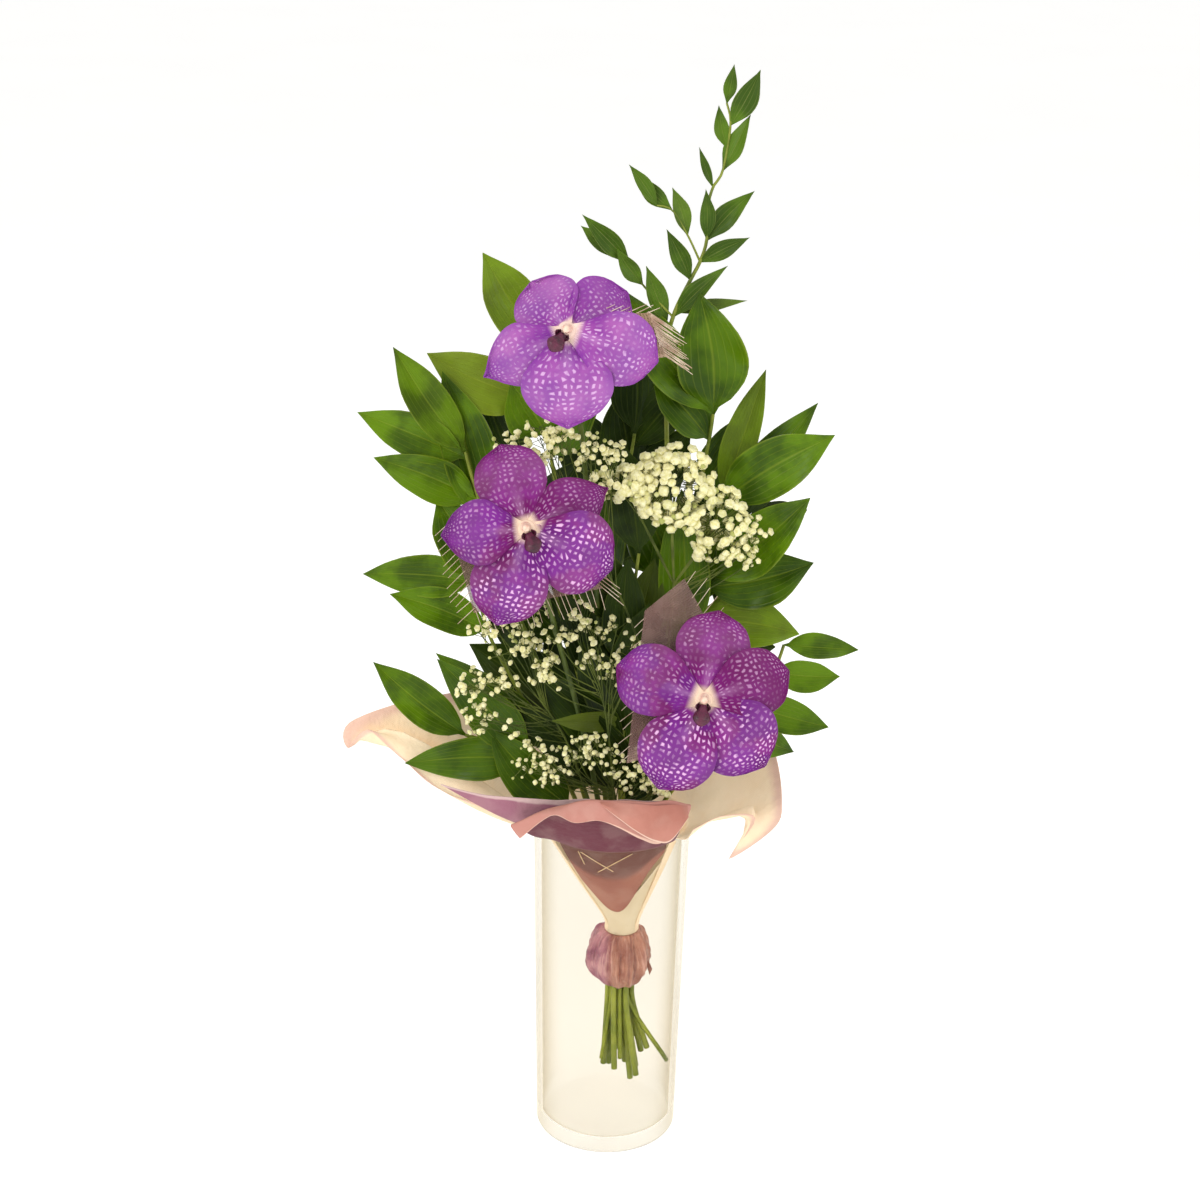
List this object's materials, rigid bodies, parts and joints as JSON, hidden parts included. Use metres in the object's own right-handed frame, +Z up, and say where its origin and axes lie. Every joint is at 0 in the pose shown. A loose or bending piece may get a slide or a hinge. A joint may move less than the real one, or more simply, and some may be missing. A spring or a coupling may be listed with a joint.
{
  "type": "vanda orchid",
  "caption": "Hand-tied spray of purple vanda orchid blooms with glossy green leaves and tiny white florets, wrapped in organza and hung in a tall clear glass vase.",
  "frame": {"origin": "middle of the vase's foot, on the surface that it stands on", "axes": "+Z up along the vase's axis, -Y towards the blooms' faces, +X to the right of someone who looks at the blooms"},
  "size_m": [0.3604, 0.2154, 0.7811],
  "materials": {
    "vase_glass": "clear, with a faint warm tint",
    "crinkled_ribbon": "crinkled mauve ribbon with a soft shine",
    "ruscus_leaf": "glossy green leaf with parallel veins",
    "shaded_ruscus_leaf": "glossy dark green leaf",
    "soft_ruscus_leaf": "glossy small leaf",
    "violet_tepal": "waxy violet petal with a pale chequered net",
    "purple_tepal": "waxy purple petal with a pale chequered net",
    "bloom_lip": "dark maroon, waxy",
    "bloom_column": "pale pink to white, waxy",
    "bloom_stalk": "smooth green stalk",
    "breath_floret": "tiny off-white florets",
    "frayed_fibre": "open beige-pink fibre weave with frayed edges",
    "cream_organza": "translucent cream organza with a satin sheen",
    "mauve_organza": "translucent dusky mauve organza",
    "plum_organza": "translucent plum organza"
  },
  "bodies": {
    "root": {"glass_vase": "vase_glass", "ribbon_tie": "crinkled_ribbon", "ruscus_left_low": "ruscus_leaf", "ruscus_left_middle": "ruscus_leaf", "ruscus_left_high": "ruscus_leaf", "ruscus_top_left": "ruscus_leaf", "ruscus_top": "ruscus_leaf", "ruscus_right_high": "ruscus_leaf", "ruscus_right_middle": "ruscus_leaf", "ruscus_right_low": "ruscus_leaf", "ruscus_middle": "shaded_ruscus_leaf", "ruscus_back_left": "shaded_ruscus_leaf", "ruscus_back_middle": "shaded_ruscus_leaf", "ruscus_back_right": "shaded_ruscus_leaf", "soft_ruscus_sprig": "soft_ruscus_leaf", "bloom_top_tepals": "violet_tepal", "bloom_top_lip": "bloom_lip", "bloom_top_column": "bloom_column", "bloom_top_stalk": "bloom_stalk", "bloom_middle_tepals": "purple_tepal", "bloom_middle_lip": "bloom_lip", "bloom_middle_column": "bloom_column", "bloom_middle_stalk": "bloom_stalk", "bloom_low_tepals": "purple_tepal", "bloom_low_lip": "bloom_lip", "bloom_low_column": "bloom_column", "bloom_low_stalk": "bloom_stalk", "babys_breath_high": "breath_floret", "babys_breath_left": "breath_floret", "babys_breath_low": "breath_floret", "bloom_top_fibre_collar": "frayed_fibre", "bloom_middle_fibre_collar": "frayed_fibre", "bloom_low_fibre_collar": "frayed_fibre", "wrap_cream": "cream_organza", "wrap_mauve": "mauve_organza", "wrap_plum": "plum_organza"}
  },
  "joints": []
}
